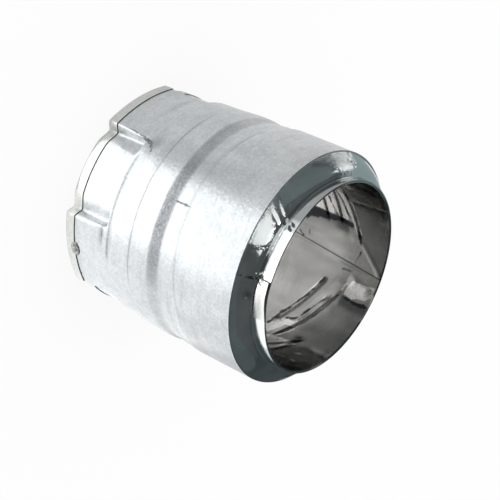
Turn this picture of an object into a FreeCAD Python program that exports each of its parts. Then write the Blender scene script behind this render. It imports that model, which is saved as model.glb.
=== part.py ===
# Double-wall vent adapter: a galvanised jacket with a lugged twist end, a formed ring inside that end,
# a stainless liner, and a domed stainless end piece with a short collar for the stove outlet.
# Millimetres. The adapter stands on its lug end: origin at the centre of that rim, +Z towards the collar.

import FreeCAD
import Part
import math
import os

from FreeCAD import Vector

# Main sizes
barrel_r = 46.05          # outside radius of the jacket's barrel
collar_r = 38.1           # outside radius of the collar, a 3 inch size
jacket_wall = 0.5         # galvanised sheet
ring_wall = 0.5           # sheet of the lug-end ring
collar_wall = 0.5         # sheet of the domed end piece
liner_wall = 0.4          # stainless sheet of the liner
nest_gap = 0.05           # clearance between two nested sheets

# Jacket outline, as radii and heights above the lug-end rim
jacket_start = 4.6        # the jacket's edge at the lug end
lug_r = 44.4              # tops of the four lugs, at their middles
lug_edge_r = 45.0         # the lugs' edges beside the slots stand a little higher
slot_r = 42.9             # floors of the four entry slots
slot_foot_r = 41.4        # the floors dip to this at the foot of the lugs' sides
slot_end = 18.4           # where the slots' floors start to rise
neck_r = 44.75            # neck behind the lugs
neck_start = 21.6         # crease where lugs and slots run out into the neck
neck_step_r = 45.1        # end of the neck, at a small step
neck_end = 30.6
bead_foot_r = 45.35       # foot of the rolled bead, after the step
bead_foot = 32.4
bead_r = 45.6             # top of the rolled bead
bead_z = 40.2
groove_r = 44.9           # groove beside the bead
groove_z = 47.8
crease_r = 45.35          # crease in the slope up to the barrel
crease_z = 53.0
barrel_start = 58.0
jacket_end = 82.4         # the jacket's edge at the collar end

# Lugs and entry slots
lug_count = 4
first_lug_angle = 45.0    # middle of a lug, from +X
slot_level_half = 13.0    # half the angle of the level part of a slot's floor
slot_foot_half = 22.3     # half the angle between the feet of the lugs' sides
slot_mouth_half = 25.2    # half the angle between the lugs' edges on either side of a slot
fold_reach = 0.75         # how much of a lug's side its two folds take up
dip_reach = 0.4           # the same for the floor's dips
fold_lean = 60.0          # slope of the lugs' sides, for the wall's thickness there
ramp_steps = 6

# Lug-end ring
ring_proud = 0.3          # how far the ring's rim stands out from the jacket's surface
ring_joint = 0.3          # gap at the joint line between ring and jacket
ring_skirt = 6.0          # length of the ring's skirt inside the jacket
rim_round = 0.6           # outside radius of the folded rim
ring_hub = 9.0            # length of the hub that holds the liner
hub_fold = 1.0            # inside radius of the fold between web and hub
liner_recess = 2.0        # how far the liner's end lies inside the lug-end rim

# Domed end piece
dome_skirt = 8.0          # length of the skirt inside the jacket
dome_rise = 5.5           # height of the dome above the jacket's edge
dome_side = (1.2, 1.9)    # how far the dome's side leans in and up before it bends over
dome_top = 2.8            # length of the flat run that pulls the dome's top level
collar_fold = 0.5         # radius at the foot of the collar
collar_out = 4.4          # length of collar above the dome
rim_recess = 0.25         # how far the liner's end lies inside the collar's rim

# Lap seams: angle of the visible edge, and how far round the outer layer runs back into the tube
jacket_seam = -92.4
jacket_lap = -26.0
collar_seam = -74.0
collar_lap = 26.0
collar_gape = 1.7         # how far the collar's outer layer stands off at its edge
lap_feather = 3.0         # the outer layer ends this angle before it would sink into the tube
liner_seam = 105.0
seam_width = 0.6          # groove of the liner's welded seam
seam_depth = 0.12

# Stakes that hold the dome, and tack welds that hold the ring
stake_angles = (-164.0, -65.0, 16.0, 115.0)
stake_height = 3.6        # above the jacket's edge
stake_r = 1.6             # radius of the punch's round nose
stake_depth = 0.3
weld_angles = (-46.8, 133.2)
weld_length = 6.2         # round the end
weld_width = 4.4          # along the axis
weld_height = 0.7

# Sizes that follow from these
dome_r = barrel_r - jacket_wall - nest_gap
collar_foot = jacket_end + dome_rise
collar_end = collar_foot + collar_out
liner_r = collar_r - collar_wall - nest_gap
hub_r = liner_r + nest_gap
joint_z = jacket_start - ring_joint
past = 5.0                # how far a cutting form runs past what it cuts

axis = Vector(0, 0, 1)
centre = Vector(0, 0, 0)


def at(r, z):
    return Vector(r, 0, z)


def round_the_axis(r, angle, z):
    return Vector(r * math.cos(angle), r * math.sin(angle), z)


def line(a, b):
    return Part.makeLine(at(*a), at(*b))


def curve(places):
    """Bezier curve in the outline plane, from the first place to the last."""
    bezier = Part.BezierCurve()
    bezier.setPoles([at(*place) for place in places])
    return bezier.toShape()


def arc(a, middle, b):
    return Part.Arc(at(*a), at(*middle), at(*b)).toShape()


def quarter_arc(a, corner_centre, b, radius):
    """Arc from a to b round corner_centre, through the middle of the quarter circle."""
    towards = at((a[0] + b[0]) / 2, (a[1] + b[1]) / 2) - at(*corner_centre)
    middle = at(*corner_centre) + towards.normalize() * radius
    return arc(a, (middle.x, middle.z), b)


def rolled(edges):
    """Solid turned about the axis from the edges of a closed outline."""
    return Part.Face(Part.Wire(edges)).revolve(centre, axis, 360)


def swell(a, b):
    """Smooth stretch of outline between two places, level with the axis at both ends."""
    middle = (a[1] + b[1]) / 2
    return curve([a, (a[0], middle), (b[0], middle), b])


def disc(r, low, high):
    return Part.makeCylinder(r, high - low, Vector(0, 0, low))


def sector(start, sweep, low, high):
    """Wedge from the axis outwards, from angle start through sweep, to cut a lap seam's layer with."""
    wedge = Part.makeCylinder(barrel_r + past, high - low, Vector(0, 0, low), axis, abs(sweep))
    wedge.rotate(centre, axis, min(start, start + sweep))
    return wedge


def lapped(shape, seam, lap, offset, low, high):
    """Outer layer of a lap seam: shape pushed out by offset at the seam, and by nothing where the lap ends."""
    away = math.radians(seam + lap - math.copysign(90, lap))
    move = offset / math.sin(math.radians(abs(lap)))
    layer = shape.copy()
    layer.translate(Vector(move * math.cos(away), move * math.sin(away), 0))
    return layer.common(sector(seam, lap - math.copysign(lap_feather, lap), low, high))


# Lugs and slots

def fold_shift(inset):
    """How far a sloping side moves along the sheet when the sheet's face is moved in by inset."""
    return inset * math.tan(math.radians(fold_lean / 2))


def lugged_section(inset, rise, z):
    """Closed outline across the lug end, at a share of the rise from its full form to the round neck."""
    lug, lug_edge, slot, foot = [r + rise * (neck_r - r) - inset for r in (lug_r, lug_edge_r, slot_r, slot_foot_r)]
    shift = fold_shift(inset) / slot_r
    level = math.radians(slot_level_half)
    foot_half = math.radians(slot_foot_half) + shift
    mouth_half = math.radians(slot_mouth_half) + shift
    pitch = 2 * math.pi / lug_count
    edges = []
    for number in range(lug_count):
        middle = math.radians(first_lug_angle) + (number - 0.5) * pitch
        foot_a = round_the_axis(foot, middle - foot_half, z)
        level_a = round_the_axis(slot, middle - level, z)
        level_b = round_the_axis(slot, middle + level, z)
        foot_b = round_the_axis(foot, middle + foot_half, z)
        lug_a = round_the_axis(lug_edge, middle + mouth_half, z)
        lug_b = round_the_axis(lug_edge, middle + pitch - mouth_half, z)
        next_foot = round_the_axis(foot, middle + pitch - foot_half, z)
        dip = dip_reach * (foot_half - level)
        side = fold_reach * (mouth_half - foot_half)
        edges.append(fold(foot_a, level_a, dip))
        edges.append(Part.Arc(level_a, round_the_axis(slot, middle, z), level_b).toShape())
        edges.append(fold(level_b, foot_b, dip))
        edges.append(fold(foot_b, lug_a, side))
        edges.append(Part.Arc(lug_a, round_the_axis(lug, middle + pitch / 2, z), lug_b).toShape())
        edges.append(fold(lug_b, next_foot, side))
    return Part.Wire(edges)


def fold(a, b, handle):
    """Stretch of the outline from a to b, leaving and meeting each level the way the tube runs round."""
    leave = Vector(-a.y, a.x, 0) * handle
    meet = Vector(-b.y, b.x, 0) * handle
    bezier = Part.BezierCurve()
    bezier.setPoles([a, a + leave, b - meet, b])
    return bezier.toShape()


def lugged_form(inset, low, high):
    """Solid with the lug end's section, from low up to high, for the straight stretch of the lugs."""
    return Part.Face(lugged_section(inset, 0, low)).extrude(Vector(0, 0, high - low))


def ramp_form(inset):
    """Where lugs and slots run out into the round neck."""
    sections = []
    for step in range(ramp_steps + 1):
        share = step / ramp_steps
        rise = share * share * (3 - 2 * share)
        z = slot_end + share * (neck_start - slot_end) + fold_shift(inset)
        sections.append(lugged_section(inset, rise, z))
    return Part.makeLoft(sections, True, False)


# The pieces

def jacket_form(inset, low, high):
    """Whole jacket as a filled form, moved in by inset: lug end, ramp, then all that is round."""
    places = [
        (neck_r, neck_start),
        (neck_step_r, neck_end),
        (bead_foot_r, bead_foot),
        (bead_r, bead_z),
        (groove_r, groove_z),
        (crease_r, crease_z),
        (barrel_r, barrel_start),
    ]
    places = [(r - inset, z) for r, z in places]
    places[0] = (neck_r - inset, neck_start + fold_shift(inset))
    foot = (0, places[0][1])
    edges = [line(foot, places[0]), line(places[0], places[1])]
    for a, b in zip(places[1:], places[2:]):
        edges.append(swell(a, b))
    top = (barrel_r - inset, high)
    edges += [line(places[-1], top), line(top, (0, high)), line((0, high), foot)]
    lug_end = lugged_form(inset, low, slot_end + fold_shift(inset))
    return rolled(edges).fuse([ramp_form(inset), lug_end])


def outer_jacket():
    outside = jacket_form(0, jacket_start, jacket_end)
    layer = lapped(outside, jacket_seam, jacket_lap, jacket_wall, jacket_start, jacket_end)
    inside = jacket_form(jacket_wall, jacket_start - past, jacket_end + past)
    return outside.fuse(layer).cut(inside).removeSplitter()


def lock_ring():
    skirt_inset = jacket_wall + nest_gap
    skirt_end = jacket_start + ring_skirt
    rim = lugged_form(-ring_proud, 0, joint_z)
    bottom = [edge for edge in rim.Edges if edge.BoundBox.ZMax < 0.001]
    rim = rim.makeFillet(rim_round, bottom)
    skirt = lugged_form(skirt_inset, joint_z, skirt_end)
    rim_hollow = lugged_form(ring_wall - ring_proud, ring_wall, joint_z - ring_wall)
    skirt_hollow = lugged_form(skirt_inset + ring_wall, joint_z - ring_wall, skirt_end + past)
    fold_centre = (hub_r + ring_wall + hub_fold, ring_wall + hub_fold)
    opening = disc(fold_centre[0], -past, ring_wall + past)
    ring = rim.fuse(skirt).cut(rim_hollow).cut(skirt_hollow).cut(opening)
    return ring.fuse(hub(fold_centre)).removeSplitter()


def hub(fold_centre):
    """Fold from the ring's flat web up into the tube that holds the liner."""
    web_r, fold_z = fold_centre
    inner = (hub_r, fold_z)
    outer = (hub_r + ring_wall, fold_z)
    edges = [
        quarter_arc((web_r, 0), fold_centre, inner, hub_fold + ring_wall),
        line(inner, (hub_r, ring_hub)),
        line((hub_r, ring_hub), (hub_r + ring_wall, ring_hub)),
        line((hub_r + ring_wall, ring_hub), outer),
        quarter_arc(outer, fold_centre, (web_r, ring_wall), hub_fold),
        line((web_r, ring_wall), (web_r, 0)),
    ]
    return rolled(edges)


def flue_liner():
    low = liner_recess
    high = collar_end - rim_recess
    tube = disc(liner_r, low, high).cut(disc(liner_r - liner_wall, low - past, high + past))
    groove_r = liner_r - liner_wall + seam_depth
    groove = Part.makeBox(groove_r, seam_width, high - low + 2 * past, Vector(0, -seam_width / 2, low - past))
    groove = groove.common(disc(groove_r, low - past, high + past))
    groove.rotate(centre, axis, liner_seam)
    return tube.cut(groove)


def dome_outline(inset):
    """Dome from the jacket's edge to the foot of the collar, moved in by inset along its own normals."""
    top = (collar_r + collar_fold, collar_foot)
    poles = [
        (dome_r, jacket_end),
        (dome_r - dome_side[0], jacket_end + dome_side[1]),
        (top[0] + dome_top, top[1]),
        top,
    ]
    lean = math.atan2(dome_side[0], dome_side[1])
    half_turn = lean + (math.pi / 2 - lean) / 2
    normals = [0, lean / 2, half_turn, math.pi / 2]
    return [(r - inset * math.cos(n), z - inset * math.sin(n)) for (r, z), n in zip(poles, normals)]


def end_form(inset, low, high):
    """Dome and collar as a filled form, moved in by inset."""
    dome = dome_outline(inset)
    collar = collar_r - inset
    fold_centre = (collar_r + collar_fold, collar_foot + collar_fold)
    collar_low = (collar, fold_centre[1])
    start = (dome[0][0], low)
    return rolled([
        line((0, low), start),
        line(start, dome[0]),
        curve(dome),
        quarter_arc(dome[-1], fold_centre, collar_low, collar_fold + inset),
        line(collar_low, (collar, high)),
        line((collar, high), (0, high)),
        line((0, high), (0, low)),
    ])


def stake_dents(outline_point):
    """Round noses of the punch that stakes the dome, set so that each sinks in by the stake's depth."""
    (r, z), lean = outline_point
    away = stake_r - stake_depth
    nose_at = at(r + away * math.cos(lean), z + away * math.sin(lean))
    dents = []
    for angle in stake_angles:
        dent = Part.makeSphere(stake_r, nose_at)
        dent.rotate(centre, axis, angle)
        dents.append(dent)
    return dents


def dome_point(height):
    """Place on the dome's outside at a height above the jacket's edge, and the slope of its normal."""
    bezier = Part.BezierCurve()
    bezier.setPoles([at(*pole) for pole in dome_outline(0)])
    low, high = 0.0, 1.0
    while high - low > 1e-6:
        middle = (low + high) / 2
        if bezier.value(middle).z < jacket_end + height:
            low = middle
        else:
            high = middle
    place = bezier.value(low)
    way = bezier.tangent(low)[0]
    return (place.x, place.z), math.atan2(-way.x, way.z)


def end_collar():
    low = jacket_end - dome_skirt
    fold_top = collar_foot + collar_fold
    outside = end_form(0, low, collar_end)
    inside = end_form(collar_wall, low - past, collar_end + past)
    dome_layer = lapped(outside, collar_seam, collar_lap, collar_wall, jacket_end, fold_top)
    shell = outside.fuse(dome_layer).cut(inside)
    strip = disc(collar_r, fold_top, collar_end).cut(disc(collar_r - collar_wall, fold_top, collar_end))
    strip = lapped(strip, collar_seam, collar_lap, collar_gape, fold_top, collar_end)
    shell = shell.fuse(strip)
    return shell.cut(stake_dents(dome_point(stake_height))).removeSplitter()


def tack_welds():
    """Flat beads across the joint line, near the middle of two opposite lugs."""
    under = [lugged_form(-ring_proud, -past, joint_z), lugged_form(0, joint_z, slot_end)]
    beads = []
    for angle in weld_angles:
        bead = Part.makeSphere(1)
        shaping = FreeCAD.Matrix()
        shaping.scale(Vector(weld_height, weld_length / 2, weld_width / 2))
        bead = bead.transformGeometry(shaping)
        bead.translate(Vector(lug_r, 0, (joint_z + jacket_start) / 2))
        bead.rotate(centre, axis, angle)
        beads.append(bead.cut(under))
    return Part.makeCompound(beads)


def main():
    os.makedirs("parts", exist_ok=True)
    pieces = {
        "outer_jacket": outer_jacket(),
        "lock_ring": lock_ring(),
        "tack_welds": tack_welds(),
        "flue_liner": flue_liner(),
        "end_collar": end_collar(),
    }
    for name, shape in pieces.items():
        shape.exportStep("parts/" + name + ".step")
        size = shape.BoundBox
        print(name, len(shape.Solids), "solids,", round(shape.Volume), "mm3, valid", shape.isValid(),
              "z", round(size.ZMin, 2), round(size.ZMax, 2), "r", round(size.XMax, 2))


main()
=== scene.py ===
# %% [markdown]
# # A pellet vent adapter, dressed for its portrait
#
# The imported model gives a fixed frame: five sheet metal pieces with exact sizes. This lesson models
# each piece again as a fine, smooth sheet with the marks of its making, gives it a finish, and lights it.
# Lengths are written in millimetres, and each finished piece is scaled to metres at the end.

# %% Load the frame
import math

import bmesh
import bpy
from mathutils import Matrix, Vector, noise


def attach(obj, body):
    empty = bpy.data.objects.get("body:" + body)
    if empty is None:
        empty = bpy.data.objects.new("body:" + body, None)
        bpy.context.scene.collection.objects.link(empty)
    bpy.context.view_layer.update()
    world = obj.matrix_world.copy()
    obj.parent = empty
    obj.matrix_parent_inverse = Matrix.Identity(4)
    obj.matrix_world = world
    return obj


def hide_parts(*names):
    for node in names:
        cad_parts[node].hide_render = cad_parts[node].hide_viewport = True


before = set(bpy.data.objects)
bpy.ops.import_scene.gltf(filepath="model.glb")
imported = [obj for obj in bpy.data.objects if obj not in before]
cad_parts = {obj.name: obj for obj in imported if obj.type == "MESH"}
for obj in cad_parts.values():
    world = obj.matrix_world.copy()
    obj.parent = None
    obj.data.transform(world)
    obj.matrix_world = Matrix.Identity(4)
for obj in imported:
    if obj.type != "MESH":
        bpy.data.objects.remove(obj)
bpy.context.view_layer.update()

MM = 0.001
columns = 360       # vertices in a ring, one for each degree

# %% [markdown]
# ## Helpers for modelling as by hand
#
# Every piece starts as a ring of vertices that is extruded along its outline, row by row, the way a
# sheet metal worker would roll and flare a tube. Helpers keep the cells short. With no window open, the
# rotate operator turns clockwise, so it gets a minus.

# %% Picking vertices by angle, radius and height
def place_of(spot):
    """Angle in degrees, radius and height of a vertex's or a face's place."""
    return math.degrees(math.atan2(spot.y, spot.x)), math.hypot(spot.x, spot.y), spot.z


def pick(piece, wanted):
    """Select the vertices whose (angle, radius, height) pass the test."""
    bpy.ops.mesh.select_all(action="DESELECT")
    mesh = bmesh.from_edit_mesh(piece.data)
    for vertex in mesh.verts:
        if wanted(*place_of(vertex.co)):
            vertex.select_set(True)
    mesh.select_flush(True)
    bmesh.update_edit_mesh(piece.data)


def pick_faces(piece, wanted):
    """Select the faces whose centre's (angle, radius, height) pass the test."""
    bpy.ops.mesh.select_mode(type="FACE")
    bpy.ops.mesh.select_all(action="DESELECT")
    mesh = bmesh.from_edit_mesh(piece.data)
    for face in mesh.faces:
        if wanted(*place_of(face.calc_center_median())):
            face.select_set(True)
    bmesh.update_edit_mesh(piece.data)
    bpy.ops.mesh.select_mode(type="VERT")


def turned(angle, middle):
    """Angle from middle, between -180 and 180 degrees."""
    return (angle - middle + 180) % 360 - 180


def mean_radius(piece):
    """Mean radius of the selected vertices."""
    radii = [place_of(vertex.co)[1] for vertex in bmesh.from_edit_mesh(piece.data).verts if vertex.select]
    return sum(radii) / len(radii)


def scale_round(factor):
    """Scale the selection about the axis, and keep its height."""
    bpy.ops.transform.resize(value=(factor, factor, 1), center_override=(0, 0, 0))


def turn_round(degrees):
    """Turn the selection about the axis."""
    bpy.ops.transform.rotate(value=-math.radians(degrees), orient_axis="Z", center_override=(0, 0, 0))


# %% Starting a ring and extruding it along an outline
def new_ring(name, radius, height):
    """A ring of vertices about the axis, left in edit mode with all of it selected."""
    bpy.ops.mesh.primitive_circle_add(vertices=columns, radius=radius, location=(0, 0, height))
    ring = bpy.context.object
    ring.name = name
    bpy.ops.object.transform_apply(location=True)
    bpy.ops.object.mode_set(mode="EDIT")
    bpy.ops.mesh.select_all(action="SELECT")
    return ring


def extrude(rise, rows=1):
    """Extrude the selected ring along the axis, in equal rows."""
    for row in range(rows):
        bpy.ops.mesh.extrude_region_move(TRANSFORM_OT_translate={"value": (0, 0, rise / rows)})


def follow(outline):
    """Extrude the selected ring through (radius, height) places, from the first one, where it is."""
    for (r, z), (next_r, next_z) in zip(outline, outline[1:]):
        extrude(next_z - z)
        scale_round(next_r / r)


def smooth(share):
    """Ease from 0 to 1, flat at both ends."""
    share = min(max(share, 0), 1)
    return share * share * (3 - 2 * share)


def between(place, table):
    """Value at a place, from a table of (place, value) pairs."""
    for (start, value), (end, next_value) in zip(table, table[1:]):
        if place <= end:
            return value + (place - start) / (end - start) * (next_value - value)


def rows_between(places, spacing):
    """Fill an outline of (radius, height) places with rows, smooth from each place to the next."""
    rows = [places[0]]
    for (r, z), (next_r, next_z) in zip(places, places[1:]):
        steps = max(1, round(abs(next_z - z) / spacing))
        for step in range(1, steps + 1):
            share = step / steps
            rows.append((r + smooth(share) * (next_r - r), z + share * (next_z - z)))
    return rows


def rolled_edge(centre_r, centre_z, radius, start, end, steps):
    """Places of a round fold, from angle start to end in degrees, zero pointing away from the axis."""
    angles = [math.radians(start + (end - start) * step / steps) for step in range(steps + 1)]
    return [(centre_r + radius * math.cos(a), centre_z + radius * math.sin(a)) for a in angles]


def dome_curve(poles, steps):
    """Places along a Bezier curve with four (radius, height) poles."""
    places = []
    for step in range(steps + 1):
        t = step / steps
        weights = ((1 - t) ** 3, 3 * t * (1 - t) ** 2, 3 * t * t * (1 - t), t ** 3)
        places.append(tuple(sum(w * pole[k] for w, pole in zip(weights, poles)) for k in (0, 1)))
    return places


# %% [markdown]
# Thin sheet is never quite true. Its marks, such as a crease, a dent, a stake mark or the step of a lap
# seam, are too small to model vertex by vertex. Each is written as a depth at a place, painted into a
# vertex group, and pushed into the sheet by a Displace modifier that reads the group. A lap also needs
# new columns of vertices, cut close beside each other, so that its edge is sharp.

# %% Marks in a sheet
def dome_share(distance, reach):
    """1 at the middle of a mark, easing to 0 at its reach."""
    return smooth(1 - distance / reach)


def facing(angle, middle, half, soft):
    """1 within half degrees of the middle angle, where the last soft degrees ease to 0."""
    return smooth((half - abs(turned(angle, middle))) / soft)


def beside(spot, start, end, radius):
    """Share of the way along a line at which a (height, angle) spot lies, and its distance from the line."""
    round_mm = math.radians(radius)
    up, across = end[0] - start[0], turned(end[1], start[1]) * round_mm
    z, x = spot[0] - start[0], turned(spot[1], start[1]) * round_mm
    share = min(max((z * up + x * across) / (up * up + across * across), 0), 1)
    return share, math.hypot(z - share * up, x - share * across)


def line_share(spot, start, end, reach, radius):
    """Share of a crease at a (height, angle) spot, along a line between two such places."""
    return dome_share(beside(spot, start, end, radius)[1], reach)


def pleat_share(spot, start, end, low_reach, high_reach, radius):
    """Share of a pleat along a line: a flat flank below it, a steeper one above, both ends fading."""
    share, away = beside(spot, start, end, radius)
    below = spot[0] < start[0] + share * (end[0] - start[0])
    flank = max(1 - away / (low_reach if below else high_reach), 0)
    return flank * smooth(share / 0.3) * smooth((1 - share) / 0.3)


def oval_share(spot, middle, half_height, half_width, radius):
    """Share of an oval dent at a (height, angle) spot."""
    up = (spot[0] - middle[0]) / half_height
    across = turned(spot[1], middle[1]) * math.radians(radius) / half_width
    return dome_share(math.hypot(up, across), 1)


def lap_share(angle, seam, lap):
    """Share of a lap's lift: 1 at its edge, 0 before it and where the outer layer ends."""
    share = turned(angle, seam) / lap
    return 1 - share if -0.0005 <= share < 1 else 0


def wander(angle, height, size, seed):
    """A smooth random value from -1 to 1 that changes over size millimetres."""
    return noise.noise(round_place(45 / size, angle, height / size) + Vector((seed, 0, 0)))


def round_place(radius, angle, height):
    """The place at an angle and a radius from the axis."""
    return Vector((radius * math.cos(math.radians(angle)), radius * math.sin(math.radians(angle)), height))


def cut_columns(piece, seam, lap, low, high):
    """Add two close columns of vertices at a lap's edge."""
    for angle in (seam - math.copysign(0.12, lap), seam):
        pick_faces(piece, lambda a, r, z: abs(turned(a, angle)) < 3 and low < z < high)
        side = math.radians(angle)
        bpy.ops.mesh.bisect(plane_co=(0, 0, 0), plane_no=(-math.sin(side), math.cos(side), 0))


def finer(piece, wanted):
    """Cut each face whose (angle, radius, height) passes the test into four."""
    pick_faces(piece, wanted)
    bpy.ops.mesh.select_mode(type="FACE")
    bpy.ops.mesh.subdivide()
    bpy.ops.mesh.select_mode(type="VERT")


def pushed(piece, depth_at, direction="NORMAL"):
    """Push a sheet out, or in where negative, by depth_at(angle, radius, height) millimetres."""
    face_outwards(piece)
    bpy.ops.object.mode_set(mode="OBJECT")
    depths = [depth_at(*place_of(vertex.co)) for vertex in piece.data.vertices]
    for name, sign in (("out", 1), ("in", -1)):
        most = max(sign * depth for depth in depths)
        if most <= 0:
            continue
        group = piece.vertex_groups.new(name=name)
        for vertex, depth in zip(piece.data.vertices, depths):
            if sign * depth > 0:
                group.add([vertex.index], sign * depth / most, "REPLACE")
        push = piece.modifiers.new(name, "DISPLACE")
        push.direction = direction
        push.mid_level = 0
        push.strength = sign * most
        push.vertex_group = name
        bpy.ops.object.modifier_apply(modifier=name)
    piece.vertex_groups.clear()
    bpy.ops.object.mode_set(mode="EDIT")
    print(piece.name, "marks from", round(min(depths), 2), "to", round(max(depths), 2), "mm")


def face_outwards(piece):
    """Point all faces of a sheet the same way, and those at its widest away from the axis."""
    bpy.ops.mesh.select_all(action="SELECT")
    bpy.ops.mesh.normals_make_consistent(inside=False)
    mesh = bmesh.from_edit_mesh(piece.data)
    widest = max(mesh.faces, key=lambda face: face.calc_center_median().xy.length)
    if widest.normal.xy.dot(widest.calc_center_median().xy) < 0:
        bpy.ops.mesh.flip_normals()


# %% [markdown]
# Marks of colour, such as painted highlights and painted shade, are painted instead. Their edges are far finer
# than the mesh, so each vertex gets its distance inside the nearest mark, in millimetres, as an attribute. A
# distance runs evenly from vertex to vertex, and the finish can cut a crisp edge from it between them.

# %% Shapes of painted marks, as a distance in millimetres, positive inside
far_outside = -3.0      # the least distance that is written


def patch_inside(spot, corners, radius):
    """Distance inside a patch with (height, angle) corners."""
    nearest, inside = 99.0, False
    for (z0, a0), (z1, a1) in zip(corners, corners[1:] + corners[:1]):
        nearest = min(nearest, beside(spot, (z0, a0), (z1, a1), radius)[1])
        if (z0 > spot[0]) != (z1 > spot[0]) and spot[1] < a0 + (spot[0] - z0) / (z1 - z0) * (a1 - a0):
            inside = not inside
    return nearest if inside else -nearest


def stroke_inside(spot, points, radius):
    """Distance inside a stroke through (height, angle, half width) points."""
    most = far_outside
    for start, end in zip(points, points[1:]):
        share, away = beside(spot, start, end, radius)
        most = max(most, start[2] + share * (end[2] - start[2]) - away)
    return most


def deepest(spot, patches, strokes, radius):
    """The largest distance inside any of the patches and strokes."""
    found = [patch_inside(spot, corners, radius) for corners in patches]
    found += [stroke_inside(spot, points, radius) for points in strokes]
    return max(found + [far_outside])


def painted(piece, name, value_at, wanted=lambda angle, r, z: True, elsewhere=far_outside):
    """Write value_at(angle, radius, height) into an attribute of a finished piece, where it is wanted."""
    values = []
    for vertex in piece.data.vertices:
        place = place_of(vertex.co / MM)
        values.append(value_at(*place) if wanted(*place) else elsewhere)
    piece.data.attributes.new(name, "FLOAT", "POINT").data.foreach_set("value", values)
    print(piece.name, name, "from", round(min(values), 2), "to", round(max(values), 2))


# %% [markdown]
# A finished sheet gets its wall from a Solidify modifier, which grows inwards, so the outside keeps its
# size. Then it takes the place of its piece in the frame.

# %% Finishing a piece
sharp_from = 35         # degrees between two faces from which their edge is left sharp


def finished(piece, wall, *nodes, slot):
    """Give the sheet its wall, scale it to metres, and let it stand for its nodes in the frame."""
    face_outwards(piece)
    bpy.ops.object.mode_set(mode="OBJECT")
    if wall:
        sheet = piece.modifiers.new("wall", "SOLIDIFY")
        sheet.thickness = wall
        sheet.offset = -1
        bpy.ops.object.modifier_apply(modifier=sheet.name)
    bpy.ops.transform.resize(value=(MM, MM, MM), center_override=(0, 0, 0))
    bpy.ops.object.transform_apply(scale=True, location=True)
    bpy.ops.object.shade_smooth_by_angle(angle=math.radians(sharp_from))
    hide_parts(*nodes)
    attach(piece, "root")
    heights = [vertex.co.z / MM for vertex in piece.data.vertices]
    radii = [vertex.co.xy.length / MM for vertex in piece.data.vertices]
    print(f"{piece.name}: {len(piece.data.polygons)} faces, z {min(heights):.2f} to {max(heights):.2f},",
          f"radius {min(radii):.2f} to {max(radii):.2f}")


# %% [markdown]
# ## The lugged end's outline
#
# The twist end has four lugs, and four slots between them, in which the dimples of the next pipe slide.
# Jacket and ring share this outline, one inside the other. A plain ring is laid out first, and then each
# set of eight vertices at the same distance from a slot's middle is turned and scaled into place. The
# columns are crowded into the lugs' steep sides, where the shape needs them.

# %% Sizes of the lugged end, as in the frame
lug_r = 44.4
lug_edge_r = 45.0
slot_r = 42.9
slot_foot_r = 41.4
neck_r = 44.75
slot_level_half = 13.0
slot_foot_half = 22.3
slot_mouth_half = 25.2
side_slope = 60.0
half_pitch = 45         # degrees, and columns, from a slot's middle to a lug's
# (column, angle) places; the columns between them stand evenly
stops = [(0, 0), (9, slot_level_half), (17, slot_foot_half), (27, slot_mouth_half), (half_pitch, half_pitch)]


def side_shift(inset):
    """How far a sloping side moves round, in degrees, when the sheet moves in by inset."""
    return math.degrees(inset * math.tan(math.radians(side_slope / 2)) / slot_r)


def column_angle(column, inset):
    """Angle from the slot's middle at which a column stands."""
    shift = side_shift(inset)
    return between(column, [(k, angle + (shift if 9 < k < half_pitch else 0)) for k, angle in stops])


def lug_end_radius(angle, inset):
    """Radius of the lugged end at an angle from a slot's middle."""
    foot = slot_foot_half + side_shift(inset)
    mouth = slot_mouth_half + side_shift(inset)
    if angle <= foot:
        radius = slot_r + (slot_foot_r - slot_r) * smooth((angle - slot_level_half) / (foot - slot_level_half))
    elif angle <= mouth:
        radius = slot_foot_r + (lug_edge_r - slot_foot_r) * smooth((angle - foot) / (mouth - foot))
    else:
        radius = lug_r + (lug_edge_r - lug_r) * ((half_pitch - angle) / (half_pitch - mouth)) ** 2
    return radius - inset


def lugged_ring(name, inset, height):
    """A ring in the lugged end's outline, moved in by inset."""
    ring = new_ring(name, 1, height)
    for column in range(half_pitch + 1):
        angle = column_angle(column, inset)
        for side in (-1, 1):
            pick(ring, lambda a, r, z: abs(turned(a * 4, side * column * 4)) < 1 and r < 2)
            turn_round(side * (angle - column))
            scale_round(lug_end_radius(angle, inset))
            if column in (0, half_pitch):
                break
    bpy.ops.mesh.select_all(action="SELECT")
    return ring


# %% [markdown]
# ## The jacket
#
# The outer jacket is one strip of galvanised sheet, rolled, lapped and pressed: lugs at one end, then a
# neck, a small step, a rolled bead with a groove beside it, and the plain barrel. It is extruded from the
# lugged ring. Through the ramp behind the slots, the To Sphere operator eases each new row towards a
# true circle, and from there on every row is only scaled.

# %% The jacket's sizes
jacket_start = 4.6
slot_end = 18.4
neck_start = 21.6
jacket_end = 82.4
ramp_rows = 8
jacket_line = [
    (neck_r, neck_start), (neck_r, 21.9), (44.78, 22.3), (45.08, 32.0),     # neck
    (45.1, 32.2), (45.12, 32.6), (45.32, 33.2), (45.36, 34.2),              # small step
    (45.6, 39.0), (45.58, 41.4), (44.9, 47.4), (45.36, 52.4),               # bead and groove
    (45.3, 53.1), (45.42, 53.9), (46.05, 58.0), (46.05, jacket_end),        # shoulder and barrel
]
jacket_wall = 0.5
jacket_seam = -92.4
jacket_lap = -26.0

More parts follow.
